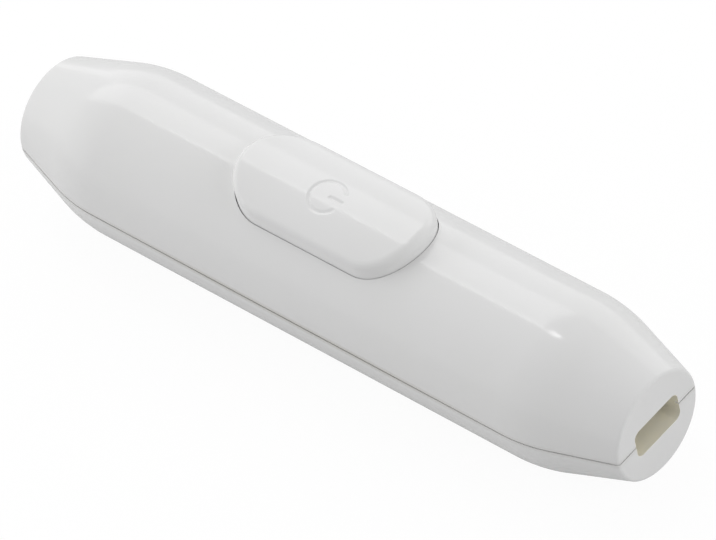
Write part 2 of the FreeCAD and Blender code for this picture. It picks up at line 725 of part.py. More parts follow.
def build_bridge_contacts():
    body = new_body("bridge_contacts")
    face = PLUNGER_X + size("bridge_thickness")
    for end in ENDS:
        disc = sketch_on(body, "YZ_Plane", face * end)
        circle(disc, ON_AXIS, size("dome_level"), size("dome_radius"))
        pad(body, disc, size("dome_height"), back=end < 0)
        outer = (face + size("dome_height")) * end
        round_edges(body, size("dome_rounding"), lambda edge: abs(edge.BoundBox.XMin - outer.value) < NEAR
                    and edge.BoundBox.XLength < NEAR)
    return body


# Cradle and latch

def build_switch_cradle():
    body = new_body("switch_cradle")
    half_length = size("cradle_length") / 2
    seat = CRADLE_SEAT
    block = sketch_on(body, "XY_Plane", seat)
    rectangle(block, -half_length, half_length, -CRADLE_Y, CRADLE_Y)
    pad(body, block, size("cradle_top") - seat)
    for end in ENDS:
        ears = sketch_on(body, "XY_Plane", seat)
        x = size("ear_x") * end
        circle(ears, x, EAR_Y, size("ear_radius"))
        pad(body, ears, size("ear_height"))
        web = sketch_on(body, "XY_Plane", seat)
        inner = (half_length - size("cradle_wall")) * end
        low, high = (inner, x) if end > 0 else (x, inner)
        rectangle(web, low, high, EAR_Y - size("ear_radius"), EAR_Y + size("ear_radius"))
        pad(body, web, size("ear_height"))

    well = sketch_on(body, "XY_Plane", CRADLE_FLOOR_TOP)
    rectangle(well, -WELL_X, WELL_X, -WELL_Y, WELL_Y)
    pocket(body, well, size("cradle_top") - seat, back=True)
    post = sketch_on(body, "XY_Plane", CRADLE_FLOOR_TOP)
    circle(post, ON_AXIS, ON_AXIS, size("spring_diameter") / 2 - size("spring_wire"))
    pad(body, post, size("spring_post_height"))

    half_notch = size("strip_width") / 2 + size("fit_clearance")
    blade_back = WELL_X + size("strip_thickness") + size("thread_clearance")
    blades = sketch_on(body, "XY_Plane", seat)
    rectangle(blades, WELL_X - size("thread_clearance"), blade_back, -half_notch, half_notch)
    rectangle(blades, -blade_back, -WELL_X + size("thread_clearance"), -half_notch, half_notch)
    pocket(body, blades, size("thread_clearance") - size("blade_top") - seat, back=True)
    exits = sketch_on(body, "XY_Plane", seat)
    rectangle(exits, WELL_X, half_length * 2, -half_notch, half_notch)
    rectangle(exits, -half_length * 2, -WELL_X, -half_notch, half_notch)
    pocket(body, exits, STRIP_TOP - seat + size("thread_clearance"), back=True)

    reach = size("cam_slope") * size("button_travel") + size("wire_diameter")
    window = sketch_on(body, "XZ_Plane", WELL_Y)
    rectangle(window, -reach, reach, size("cam_entry") - size("latch_window") / 2,
              size("cam_entry") + size("latch_window") / 2)
    pocket(body, window, size("cradle_wall") * 2, back=True)
    pivot = sketch_on(body, "XZ_Plane", WELL_Y)
    circle(pivot, ON_AXIS, PIVOT_LEVEL, hole_radius("wire_diameter"))
    pocket(body, pivot, size("cradle_wall") * 2, back=True)
    leaf_slot = sketch_on(body, "XY_Plane", seat)
    half_leaf = size("leaf_width") / 2 + size("fit_clearance")
    rectangle(leaf_slot, -half_leaf, half_leaf, -CRADLE_Y * 2, -WELL_Y)
    pocket(body, leaf_slot, size("leaf_thickness") + size("thread_clearance"), back=True)
    screw_holes = sketch_on(body, "XY_Plane", seat)
    ear_circles(screw_holes, hole_radius("cradle_screw_diameter"))
    pocket(body, screw_holes, size("ear_height") * 2, back=True)
    return body


def build_latch_wire():
    body = new_body("latch_wire")
    low = PIVOT_LEVEL
    high = size("cam_entry")
    bend = size("wire_bend")
    start = -WELL_Y - size("wire_clearance")
    tip = -PLUNGER_Y + size("cam_depth") - size("running_clearance")
    route = sketch_on(body, "YZ_Plane")
    foot = line(route, start, low, -WIRE_Y + bend, low)
    lower_bend = arc(route, -WIRE_Y + bend, low + bend, bend, 180, 270)
    leg = line(route, -WIRE_Y, low + bend, -WIRE_Y, high - bend)
    upper_bend = arc(route, -WIRE_Y + bend, high - bend, bend, 90, 180)
    hook = line(route, -WIRE_Y + bend, high, tip, high)
    join_smoothly(route, [(foot, 2, lower_bend, 2), (lower_bend, 1, leg, 1), (leg, 2, upper_bend, 2),
                          (upper_bend, 1, hook, 1)])
    pin(route, foot, 1, start, low)
    pin(route, hook, 2, tip, high)
    section = sketch_on(body, "XZ_Plane", -start)
    circle(section, ON_AXIS, low, size("wire_diameter") / 2)
    pipe = feature(body, "AdditivePipe", section)
    pipe.Spine = (route, [])
    return body


def build_latch_leaf():
    body = new_body("latch_leaf")
    inner = -WIRE_Y - size("wire_diameter") / 2 - size("thread_clearance")
    outer = inner - size("leaf_thickness")
    seat = CRADLE_SEAT
    profile = sketch_on(body, "YZ_Plane", -size("leaf_width") / 2)
    foot_end = -WELL_Y - size("fit_clearance")
    top = size("cam_entry") - size("wire_bend")
    foot_top = seat + size("leaf_thickness")
    polygon(profile, [(foot_end, seat), (foot_end, foot_top), (inner, foot_top), (inner, top),
                      (outer, top), (outer, seat)])
    pad(body, profile, size("leaf_width"))
    return body


# Brass and terminals

def build_live_strip(label, end):
    """A strip from the contact in the cradle, past the cover screw boss, to its terminal."""
    body = new_body(label)
    half = size("strip_width") / 2
    start = WELL_X
    straight = size("cradle_length") / 2 + size("strip_width")
    diagonal = straight + size("strip_width")
    finish = size("terminal_x") + size("terminal_length") / 2
    plan = sketch_on(body, "XY_Plane", STRIP_BOTTOM)
    points = [(start, -half), (straight, -half), (diagonal, -RAIL_OUTSIDE), (finish, -RAIL_OUTSIDE),
              (finish, -RAIL_INSIDE), (diagonal + half, -RAIL_INSIDE), (straight + half, half), (start, half)]
    polygon(plan, [(x * end, y) for x, y in points])
    pad(body, plan, size("strip_thickness"))
    blade = sketch_on(body, "XY_Plane", STRIP_BOTTOM)
    back = start + size("strip_thickness")
    low, high = (start, back) if end > 0 else (-back, -start)
    rectangle(blade, low, high, -half, half)
    pad(body, blade, -size("blade_top") - STRIP_BOTTOM)
    bend_line = {"XMin": start * end, "XLength": 0, "ZMax": STRIP_BOTTOM}
    round_edges(body, size("strip_bend"), lambda edge: is_straight(edge, **bend_line))
    return body


def build_neutral_link():
    body = new_body("neutral_link")
    plan = sketch_on(body, "XY_Plane", STRIP_BOTTOM)
    reach = size("terminal_x") + size("terminal_length") / 2
    rectangle(plan, -reach, reach, RAIL_INSIDE, RAIL_OUTSIDE)
    pad(body, plan, size("strip_thickness"))
    return body


def build_terminal_block(label, end, side):
    body = new_body(label)
    x = size("terminal_x") * end
    y = TERMINAL_Y * side
    half_x = size("terminal_length") / 2
    half_y = size("terminal_width") / 2
    plan = sketch_on(body, "XY_Plane", STRIP_TOP)
    rectangle(plan, x - half_x, x + half_x, y - half_y, y + half_y)
    pad(body, plan, size("terminal_height"))
    bevel_edges(body, size("terminal_chamfer"), lambda edge: is_straight(edge, ZMin=BLOCK_TOP))
    bore = sketch_on(body, "YZ_Plane", x - half_x)
    circle(bore, y, STRIP_TOP + size("wire_bore_rise"), size("wire_bore") / 2)
    pocket(body, bore, size("terminal_length"), back=True)
    thread = sketch_on(body, "XY_Plane", BLOCK_TOP)
    circle(thread, x, y, hole_radius("terminal_screw_diameter"))
    pocket(body, thread, size("terminal_height") - size("wire_bore_rise"))
    return body


# Screws and clamps

def build_screws(label, seat, circles, screw, head_down=False):
    """A set of like screws: flat heads on a seat, with plain shanks."""
    body = new_body(label)
    heads = sketch_on(body, "XY_Plane", seat)
    circles(heads, size(screw + "_head_diameter") / 2)
    pad(body, heads, size(screw + "_head_height"), back=head_down)
    shanks = sketch_on(body, "XY_Plane", seat)
    circles(shanks, size(screw + "_screw_diameter") / 2)
    if head_down:
        length = size("cover_screw_reach") - seat
    else:
        length = size(screw + "_screw_length")
    pad(body, shanks, length, back=not head_down)
    return body


def build_cord_clamp(label, end):
    body = new_body(label)
    x = CLAMP_X * end
    half_x = size("clamp_width") / 2
    reach = CLAMP_Y + size("clamp_margin")
    plan = sketch_on(body, "XY_Plane", size("clamp_level"))
    rectangle(plan, x - half_x, x + half_x, -reach, reach)
    for side in ENDS:
        circle(plan, x, CLAMP_Y * side, hole_radius("clamp_screw_diameter"))
    pad(body, plan, size("clamp_thickness"))
    round_edges(body, size("clamp_corner"), lambda edge: is_straight(edge, ZLength=size("clamp_thickness")))
    rib = sketch_on(body, "XY_Plane", size("clamp_level"))
    rib_end = CLAMP_Y - size("clamp_post_diameter") / 2 - size("fit_clearance")
    rectangle(rib, x - size("clamp_rib_width") / 2, x + size("clamp_rib_width") / 2, -rib_end, rib_end)
    pad(body, rib, size("clamp_rib_height"), back=True)
    return body


PIECES = [
    build_upper_shell(),
    build_lower_shell(),
    build_button(),
    build_plunger(),
    build_return_spring(),
    build_contact_bridge(),
    build_bridge_contacts(),
    build_switch_cradle(),
    build_latch_wire(),
    build_latch_leaf(),
    build_live_strip("live_in_strip", -1),
    build_live_strip("live_out_strip", 1),
    build_neutral_link(),
    build_terminal_block("terminal_block_live_in", -1, -1),
    build_terminal_block("terminal_block_live_out", 1, -1),
    build_terminal_block("terminal_block_neutral_in", -1, 1),
    build_terminal_block("terminal_block_neutral_out", 1, 1),
    build_screws("terminal_screws", BLOCK_TOP, terminal_circles, "terminal"),
    build_screws("cradle_screws", EAR_TOP, ear_circles, "cradle"),
    build_cord_clamp("cord_clamp_left", -1),
    build_cord_clamp("cord_clamp_right", 1),
    build_screws("clamp_screws", CLAMP_TOP, clamp_screw_circles, "clamp"),
    build_screws("cover_screws", COVER_SEAT, cover_screw_circles, "cover", head_down=True),
]

doc.recompute()
for item in doc.Objects:
    if "Invalid" in item.State or "Error" in item.State:
        raise RuntimeError("%s failed: %s" % (item.Label, item.State))
for piece in PIECES:
    if piece.Shape.isNull() or not piece.Shape.isValid():
        raise RuntimeError("%s has no valid shape" % piece.Label)

os.makedirs("parts", exist_ok=True)
for piece in PIECES:
    piece.Shape.exportStep("parts/%s.step" % piece.Label)
    print("%-28s %2d solids  %9.2f mm3" % (piece.Label, len(piece.Shape.Solids), piece.Shape.Volume))
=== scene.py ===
import json
import math

import bmesh
import bpy
from mathutils import Matrix, Vector


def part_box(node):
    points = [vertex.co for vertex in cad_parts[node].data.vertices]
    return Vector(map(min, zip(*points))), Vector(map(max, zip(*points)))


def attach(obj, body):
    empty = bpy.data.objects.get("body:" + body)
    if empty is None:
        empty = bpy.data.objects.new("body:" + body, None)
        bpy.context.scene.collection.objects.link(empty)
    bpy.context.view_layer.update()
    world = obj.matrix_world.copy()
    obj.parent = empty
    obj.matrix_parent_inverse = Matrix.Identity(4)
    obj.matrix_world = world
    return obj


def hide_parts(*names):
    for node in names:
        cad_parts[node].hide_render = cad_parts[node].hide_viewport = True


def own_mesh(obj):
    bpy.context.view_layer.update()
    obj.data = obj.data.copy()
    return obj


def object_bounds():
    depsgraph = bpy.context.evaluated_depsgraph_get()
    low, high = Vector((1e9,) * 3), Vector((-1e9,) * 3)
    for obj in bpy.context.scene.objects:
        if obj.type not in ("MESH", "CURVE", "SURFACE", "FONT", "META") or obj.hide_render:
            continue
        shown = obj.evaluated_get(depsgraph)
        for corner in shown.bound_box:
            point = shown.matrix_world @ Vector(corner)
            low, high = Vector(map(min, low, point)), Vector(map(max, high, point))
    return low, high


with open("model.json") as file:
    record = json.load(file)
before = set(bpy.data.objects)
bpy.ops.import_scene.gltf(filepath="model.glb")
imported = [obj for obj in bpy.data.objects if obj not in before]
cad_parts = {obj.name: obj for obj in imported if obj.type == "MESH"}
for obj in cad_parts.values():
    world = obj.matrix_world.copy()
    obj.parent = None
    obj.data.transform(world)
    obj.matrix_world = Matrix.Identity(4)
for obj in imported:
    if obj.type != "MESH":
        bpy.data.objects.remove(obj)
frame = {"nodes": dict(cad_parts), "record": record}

cad_low, cad_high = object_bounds()
MM = 0.001
CLOSE = 0.001 * MM

# Places and sizes taken from the frame
entry_right = next(m for m in frame["record"]["mounts"] if m["name"] == "cord_entry_right")
AXIS_Z = entry_right["pos_m"][2]
AXIS_MIDDLE = Vector((0, 0, AXIS_Z))
BODY_RADIUS = cad_high.y
CROWN_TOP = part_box("button")[1].z
CROWN_AXIS_Z = CROWN_TOP - BODY_RADIUS

# Cord slot, and the distances from a corner's middle at which the painted warm shade inside it starts
# and is full
SLOT_HALF_WIDTH = 4.1 * MM
SLOT_HALF_HEIGHT = 2.15 * MM
SLOT_CORNER = 1.0 * MM
SLOT_SHADE_OUTSIDE = SLOT_CORNER + 0.06 * MM
SLOT_SHADE_INSIDE = SLOT_CORNER + 0.01 * MM

# Painted shade along the joint between the shells, standing in for the shadow in their gap: where it
# starts and is full, across it and along the housing, and its strength
JOINT_OUTSIDE = 0.9 * MM
JOINT_INSIDE = 0.1 * MM
JOINT_FAR = 42 * MM
JOINT_NEAR = 10 * MM
JOINT_AT_ENDS = 0.25
JOINT_ADDED = 0.6

# Colours
WHITE = (0.86, 0.86, 0.86)
WHITE_CLOUD = (0.85, 0.85, 0.846)
BUTTON_WHITE = (0.87, 0.87, 0.87)
# Painted warm shade for inside the cord slot, standing in for the dim warm light bounced about in it
SLOT_WARM_SHADE = (0.98, 0.94, 0.79, 1)
# Painted shade for the joint between the shells, standing in for the shadow in their gap
JOINT_PAINTED_SHADE = (0.66, 0.65, 0.615, 1)

# Surfaces: roughness of the white mouldings, depths of relief, and the plastics' index of refraction
GLOSS = 0.14
BUTTON_GLOSS = 0.15
MOULD_RELIEF = 0.0002 * MM
COARSE_RELIEF = 0.001 * MM
METAL_RELIEF = 0.0006 * MM
PLASTIC_IOR = 1.5

# Colour sockets of a Mix node
MIX_FIRST = 6
MIX_SECOND = 7
MIX_RESULT = 2

# Noises, by scale per metre and levels of detail, and the ranges that they are brought to
CLOUDING = (55, 3)
GLOSS_PATCHES = (420, 2)
MOULD_TEXTURE = (2600, 2)
GRAIN_STREAKS = (1, 4)
STAINS = (240, 3)
# Grain in the painted warm shade inside the cord slot
SLOT_SHADE_GRAIN = (900, 3)
NOISE_MIDDLE = (0.3, 0.7)
CLOUD_SHARE = (0, 1)
GLOSS_SHARE = (0.85, 1.2)
STAIN_SHARE = (0, 0.6)
STREAK_SHARE = (0.75, 1.35)
# Range of the grain in the painted warm shade inside the cord slot
SLOT_SHADE_SHARE = (0.85, 1)


# Material helpers

def new_group(name, inputs, outputs):
    """An empty shader group with the given sockets, and its two end nodes."""
    group = bpy.data.node_groups.new(name, "ShaderNodeTree")
    for way, sockets in (("INPUT", inputs), ("OUTPUT", outputs)):
        for label, kind in sockets.items():
            group.interface.new_socket(label, in_out=way, socket_type="NodeSocket" + kind)
    return group, group.nodes.new("NodeGroupInput"), group.nodes.new("NodeGroupOutput")


def noise(tree, vector, scale, detail):
    node = tree.nodes.new("ShaderNodeTexNoise")
    node.inputs["Scale"].default_value = scale
    node.inputs["Detail"].default_value = detail
    tree.links.new(vector, node.inputs["Vector"])
    return node.outputs["Fac"]


def remap(tree, value, start, stop, low=0, high=1):
    """Brings the stretch between two values to another range, with soft ends."""
    node = tree.nodes.new("ShaderNodeMapRange")
    node.interpolation_type = "SMOOTHSTEP"
    for label, number in (("From Min", start), ("From Max", stop), ("To Min", low), ("To Max", high)):
        node.inputs[label].default_value = number
    tree.links.new(value, node.inputs["Value"])
    return node.outputs["Result"]


def spread(tree, value, share):
    """Brings the middle of a noise to a range."""
    return remap(tree, value, *NOISE_MIDDLE, *share)


def calculate(tree, operation, *terms):
    node = tree.nodes.new("ShaderNodeMath")
    node.operation = operation
    for socket, term in zip(node.inputs, terms):
        if isinstance(term, (int, float)):
            socket.default_value = term
        else:
            tree.links.new(term, socket)
    return node.outputs[0]


def mix_colors(tree, factor, first, second):
    node = tree.nodes.new("ShaderNodeMix")
    node.data_type = "RGBA"
    tree.links.new(factor, node.inputs["Factor"])
    for socket, color in ((node.inputs[MIX_FIRST], first), (node.inputs[MIX_SECOND], second)):
        if isinstance(color, tuple):
            socket.default_value = color
        else:
            tree.links.new(color, socket)
    return node.outputs[MIX_RESULT]


def moulded_skin_group():
    """Moulded plastic: faint flow clouding, uneven gloss and a fine mould texture."""
    group, start, end = new_group(
        "moulded_skin",
        {"Vector": "Vector", "Color": "Color", "Cloud": "Color", "Roughness": "Float"},
        {"Color": "Color", "Roughness": "Float", "Height": "Float"})
    place = start.outputs["Vector"]
    cloud = spread(group, noise(group, place, *CLOUDING), CLOUD_SHARE)
    color = mix_colors(group, cloud, start.outputs["Color"], start.outputs["Cloud"])
    gloss = spread(group, noise(group, place, *GLOSS_PATCHES), GLOSS_SHARE)
    roughness = calculate(group, "MULTIPLY", gloss, start.outputs["Roughness"])
    group.links.new(color, end.inputs["Color"])
    group.links.new(roughness, end.inputs["Roughness"])
    group.links.new(noise(group, place, *MOULD_TEXTURE), end.inputs["Height"])
    return group


def worked_metal_group():
    """Rolled, drawn or plated metal: streaks along the grain, with slight tarnish."""
    group, start, end = new_group(
        "worked_metal",
        {"Vector": "Vector", "Grain": "Vector", "Color": "Color", "Tarnish": "Color",
         "Roughness": "Float"},
        {"Color": "Color", "Roughness": "Float", "Height": "Float"})
    stretch = group.nodes.new("ShaderNodeVectorMath")
    stretch.operation = "MULTIPLY"
    group.links.new(start.outputs["Vector"], stretch.inputs[0])
    group.links.new(start.outputs["Grain"], stretch.inputs[1])
    streak = noise(group, stretch.outputs[0], *GRAIN_STREAKS)
    stain = spread(group, noise(group, start.outputs["Vector"], *STAINS), STAIN_SHARE)
    color = mix_colors(group, stain, start.outputs["Color"], start.outputs["Tarnish"])
    gloss = spread(group, streak, STREAK_SHARE)
    roughness = calculate(group, "MULTIPLY", gloss, start.outputs["Roughness"])
    group.links.new(color, end.inputs["Color"])
    group.links.new(roughness, end.inputs["Roughness"])
    group.links.new(streak, end.inputs["Height"])
    return group


MOULDED_SKIN = moulded_skin_group()
WORKED_METAL = worked_metal_group()


def new_material(name):
    material = bpy.data.materials.new(name)
    material.use_nodes = True
    tree = material.node_tree
    return material, tree, tree.nodes["Principled BSDF"]


def dress(tree, shader, group, values, relief):
    """Places a surface group in a material, with its own values and a bump of the given depth."""
    surface = tree.nodes.new("ShaderNodeGroup")
    surface.node_tree = group
    for label, value in values.items():
        surface.inputs[label].default_value = value
    place = tree.nodes.new("ShaderNodeTexCoord")
    tree.links.new(place.outputs["Object"], surface.inputs["Vector"])
    bump = tree.nodes.new("ShaderNodeBump")
    bump.inputs["Strength"].default_value = 1
    bump.inputs["Distance"].default_value = relief
    tree.links.new(surface.outputs["Color"], shader.inputs["Base Color"])
    tree.links.new(surface.outputs["Roughness"], shader.inputs["Roughness"])
    tree.links.new(surface.outputs["Height"], bump.inputs["Height"])
    tree.links.new(bump.outputs["Normal"], shader.inputs["Normal"])
    return surface, place


def plastic(name, color, cloud, roughness, relief=MOULD_RELIEF):
    material, tree, shader = new_material(name)
    shader.inputs["IOR"].default_value = PLASTIC_IOR
    values = {"Color": (*color, 1), "Cloud": (*cloud, 1), "Roughness": roughness}
    dress(tree, shader, MOULDED_SKIN, values, relief)
    return material


def metal(name, color, tarnish, roughness, grain):
    """A metal whose grain is given by the scale of its streaks along each axis."""
    material, tree, shader = new_material(name)
    shader.inputs["Metallic"].default_value = 1
    values = {"Color": (*color, 1), "Tarnish": (*tarnish, 1), "Roughness": roughness, "Grain": grain}
    dress(tree, shader, WORKED_METAL, values, METAL_RELIEF)
    return material


def housing_material():
    """Glossy white moulding, with painted warm shade inside the cord slot and a painted shade line
    along the joint.
    """
    material, tree, shader = new_material("housing_plastic")
    shader.inputs["IOR"].default_value = PLASTIC_IOR
    values = {"Color": (*WHITE, 1), "Cloud": (*WHITE_CLOUD, 1), "Roughness": GLOSS}
    surface, place = dress(tree, shader, MOULDED_SKIN, values, MOULD_RELIEF)
    parts = tree.nodes.new("ShaderNodeSeparateXYZ")
    tree.links.new(place.outputs["Object"], parts.inputs[0])

    def past_corner(value, half):
        """Square of how far a place lies beyond the middle of the slot's corner."""
        size = calculate(tree, "ABSOLUTE", value)
        beyond = calculate(tree, "SUBTRACT", size, half - SLOT_CORNER)
        return calculate(tree, "POWER", calculate(tree, "MAXIMUM", beyond, 0), 2)

    height = calculate(tree, "SUBTRACT", parts.outputs["Z"], AXIS_Z)
    across = past_corner(parts.outputs["Y"], SLOT_HALF_WIDTH)
    upright = past_corner(height, SLOT_HALF_HEIGHT)
    reach = calculate(tree, "SQRT", calculate(tree, "ADD", across, upright))
    # Painted warm shade inside the cord slot, with a little grain in it
    slot_shade = remap(tree, reach, SLOT_SHADE_OUTSIDE, SLOT_SHADE_INSIDE)
    grain = spread(tree, noise(tree, place.outputs["Object"], *SLOT_SHADE_GRAIN), SLOT_SHADE_SHARE)
    slot_shade = calculate(tree, "MULTIPLY", slot_shade, grain)

    # Painted shade along the joint, stronger towards the middle of the housing than at its ends
    joint = remap(tree, calculate(tree, "ABSOLUTE", height), JOINT_OUTSIDE, JOINT_INSIDE)
    along = calculate(tree, "ABSOLUTE", parts.outputs["X"])
    middle = remap(tree, along, JOINT_FAR, JOINT_NEAR)
    depth = calculate(tree, "MULTIPLY_ADD", middle, JOINT_ADDED, JOINT_AT_ENDS)
    joint = calculate(tree, "MULTIPLY", joint, depth)

    white = mix_colors(tree, joint, surface.outputs["Color"], JOINT_PAINTED_SHADE)
    tree.links.new(mix_colors(tree, slot_shade, white, SLOT_WARM_SHADE), shader.inputs["Base Color"])
    return material


FINISHES = {
    "housing_plastic": housing_material(),
    "button_plastic": plastic("button_plastic", BUTTON_WHITE, WHITE_CLOUD, BUTTON_GLOSS),
    "slider_plastic": plastic(
        "slider_plastic", (0.82, 0.8, 0.74), (0.78, 0.75, 0.68), 0.42),
    "cradle_plastic": plastic(
        "cradle_plastic", (0.022, 0.022, 0.024), (0.03, 0.03, 0.032), 0.4, COARSE_RELIEF),
    "clamp_plastic": plastic(
        "clamp_plastic", (0.8, 0.79, 0.75), (0.75, 0.74, 0.69), 0.45),
    "spring_steel": metal(
        "spring_steel", (0.6, 0.6, 0.61), (0.42, 0.41, 0.4), 0.26, (900, 900, 3500)),
    "contact_bronze": metal(
        "contact_bronze", (0.76, 0.53, 0.33), (0.6, 0.38, 0.22), 0.32, (500, 3200, 500)),
    "contact_silver": metal(
        "contact_silver", (0.83, 0.82, 0.79), (0.6, 0.58, 0.53), 0.35, (1800, 1800, 1800)),
    "brass": metal(
        "brass", (0.8, 0.62, 0.3), (0.62, 0.45, 0.2), 0.3, (350, 3000, 3000)),
    "plated_steel": metal(
        "plated_steel", (0.68, 0.68, 0.66), (0.52, 0.52, 0.48), 0.28, (1500, 1500, 1500)),
}
for subpart in frame["record"]["subparts"]:
    node = frame["nodes"][subpart["node"]]
    node.data.materials.clear()
    node.data.materials.append(FINISHES[subpart["material_slot"]])


# Pieces

def finish_piece(mesh, node_name, body, slot):
    """Makes a mesh a piece of the switch, in place of a CAD node."""
    mesh.materials.clear()
    mesh.materials.append(FINISHES[slot])
    piece = bpy.data.objects.new(node_name + "_detail", mesh)
    bpy.context.scene.collection.objects.link(piece)
    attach(piece, body)
    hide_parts(node_name)
    return piece


def mesh_from(bm, name):
    mesh = bpy.data.meshes.new(name)
    bm.to_mesh(mesh)
    bm.free()
    return mesh


def shade_by_angle(mesh, degrees):
    mesh.shade_smooth()
    mesh.set_sharp_from_angle(angle=math.radians(degrees))


def cut_faces(bm, faces, place, direction):
    """Cuts faces along a plane, with all that bounds them."""
    edges = {edge for face in faces for edge in face.edges}
    verts = {vert for edge in edges for vert in edge.verts}
    bmesh.ops.bisect_plane(
        bm, geom=[*faces, *edges, *verts], dist=CLOSE / 10, plane_co=place, plane_no=direction)


# Button, with the power sign sunk into its crown

SIGN_Y = -0.85 * MM
SIGN_RADIUS = 2.4 * MM
SIGN_LINE = 0.8 * MM
SIGN_DEPTH = 0.13 * MM
SIGN_OPENING = math.radians(37)
BAR_START = 0.5 * MM
BAR_END = 2.3 * MM
SIGN_REACH = 3.0 * MM
SIGN_STEPS = 50
CROWN_STEP = 0.4 * MM
SLOPE_STEP = 0.005 * MM


def sign_distance(x, y):
    """How far a place on the crown, seen from above, is from the nearest line of the sign."""
    y -= SIGN_Y
    if abs(math.atan2(y, x)) > SIGN_OPENING:
        ring = abs(math.hypot(x, y) - SIGN_RADIUS)
    else:
        end = math.copysign(SIGN_OPENING, y)
        ring = math.hypot(x - SIGN_RADIUS * math.cos(end), y - SIGN_RADIUS * math.sin(end))
    bar = math.hypot(x - min(max(x, BAR_START), BAR_END), y)
    return min(ring, bar)


def crown_height(x, y):
    """Height of the button's crown, with the sign sunk into it."""
    near = min(2 * sign_distance(x, y) / SIGN_LINE, 1)
    dome = CROWN_AXIS_Z + math.sqrt(BODY_RADIUS ** 2 - y ** 2)
    return dome - SIGN_DEPTH * (1 + math.cos(math.pi * near)) / 2


def crown_normal(x, y):
    rise_x = crown_height(x + SLOPE_STEP, y) - crown_height(x - SLOPE_STEP, y)
    rise_y = crown_height(x, y + SLOPE_STEP) - crown_height(x, y - SLOPE_STEP)
    return Vector((-rise_x, -rise_y, 2 * SLOPE_STEP)).normalized()


def build_button():
    """The CAD button, whose crown is cut into a fine mesh and pressed down along the sign."""
    source = frame["nodes"]["button"].data
    draft = source.copy()
    kept = draft.attributes.new("kept_normal", "FLOAT_VECTOR", "CORNER")
    for corner, normal in zip(kept.data, source.corner_normals):
        corner.vector = normal.vector
    bm = bmesh.new()
    bm.from_mesh(draft)
    bpy.data.meshes.remove(draft)
    bmesh.ops.remove_doubles(bm, verts=bm.verts, dist=CLOSE)

    def on_crown(vert):
        from_axis = math.hypot(vert.co.y, vert.co.z - CROWN_AXIS_Z)
        return abs(from_axis - BODY_RADIUS) < 2 * CLOSE

    mark = bm.faces.layers.int.new("crown")
    crown = [face for face in bm.faces if all(on_crown(vert) for vert in face.verts)]
    for face in bmesh.ops.dissolve_faces(bm, faces=crown)["region"]:
        face[mark] = 1

    def crown_faces():
        return [face for face in bm.faces if face[mark]]

    half_width = max(vert.co.y for face in crown_faces() for vert in face.verts)
    rows = [SIGN_Y + SIGN_REACH * i / SIGN_STEPS for i in range(-SIGN_STEPS, SIGN_STEPS + 1)]
    for i in range(1, int(half_width / CROWN_STEP) + 1):
        rows += [SIGN_Y + SIGN_REACH + i * CROWN_STEP, SIGN_Y - SIGN_REACH - i * CROWN_STEP]
    for y in rows:
        cut_faces(bm, crown_faces(), (0, y, 0), (0, 1, 0))
    for x in (-SIGN_REACH, SIGN_REACH):
        cut_faces(bm, crown_faces(), (x, 0, 0), (1, 0, 0))

    def beside_sign(vert):
        at_side = abs(abs(vert.co.x) - SIGN_REACH) < CLOSE
        return at_side and abs(vert.co.y - SIGN_Y) < SIGN_REACH + CLOSE

    lines = {edge for face in crown_faces() for edge in face.edges
             if all(beside_sign(vert) for vert in edge.verts) and edge.calc_length() > SIGN_REACH}
    bmesh.ops.subdivide_edges(bm, edges=list(lines), cuts=2 * SIGN_STEPS - 1, use_grid_fill=True)
    for vert in bm.verts:
        if vert.link_faces and all(face[mark] for face in vert.link_faces):
            vert.co.z = crown_height(vert.co.x, vert.co.y)

    mesh = mesh_from(bm, "button")
    if "custom_normal" in mesh.attributes:
        mesh.attributes.remove(mesh.attributes["custom_normal"])
    mesh.shade_smooth()
    normals = [corner.vector.copy() for corner in mesh.attributes["kept_normal"].data]
    for face, flag in zip(mesh.polygons, mesh.attributes["crown"].data):
        if flag.value:
            for corner in face.loop_indices:
                place = mesh.vertices[mesh.loops[corner].vertex_index].co
                normals[corner] = crown_normal(place.x, place.y)
    for name in ("kept_normal", "crown"):
        mesh.attributes.remove(mesh.attributes[name])
    mesh.normals_split_custom_set(normals)
    finish_piece(mesh, "button", "button", "button_plastic")


# Return spring, with closed coils at both ends

SPRING_WIRE = 0.4 * MM
SPRING_TURNS = 6
CLOSED_PITCH = 1.05 * SPRING_WIRE
WIRE_SIDES = 12
STEPS_A_TURN = 40
SPRING_SHARP_DEGREES = 50


def build_spring():
    low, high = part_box("return_spring")
    coil = (high.y - low.y - SPRING_WIRE) / 2
    rise = high.z - low.z - SPRING_WIRE
    bm = bmesh.new()
    upright = Matrix.Rotation(math.pi / 2, 4, "X")
    start = Matrix.Translation((coil, 0, low.z + SPRING_WIRE / 2)) @ upright
    bmesh.ops.create_circle(bm, segments=WIRE_SIDES, radius=SPRING_WIRE / 2, matrix=start)
    section = [*bm.verts, *bm.edges]
    stretches = ((1, CLOSED_PITCH), (SPRING_TURNS - 2, rise - 2 * CLOSED_PITCH), (1, CLOSED_PITCH))
    for turns, climb in stretches:
        steps = turns * STEPS_A_TURN
        swept = bmesh.ops.spin(
            bm, geom=section, cent=(0, 0, 0), axis=(0, 0, 1), dvec=(0, 0, climb / steps),
            angle=2 * math.pi * turns, steps=steps, use_merge=False)
        section = swept["geom_last"]
    bmesh.ops.holes_fill(bm, edges=[edge for edge in bm.edges if edge.is_boundary], sides=0)
    bmesh.ops.recalc_face_normals(bm, faces=bm.faces)
    mesh = mesh_from(bm, "return_spring")
    shade_by_angle(mesh, SPRING_SHARP_DEGREES)
    piece = finish_piece(mesh, "return_spring", "housing", "spring_steel")
    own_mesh(piece)


# Screws: pan heads with a cross recess, on threaded shanks

# Head: sides and steps, and shares of its height or radius
HEAD_SIDES = 48
RIM_ROUNDING = 0.32
RIM_STEPS = 5
CROSS_ARM = 0.55
CROSS_BLADE = 0.13
CROSS_DEPTH = 0.6
CROSS_TAPER = 0.7

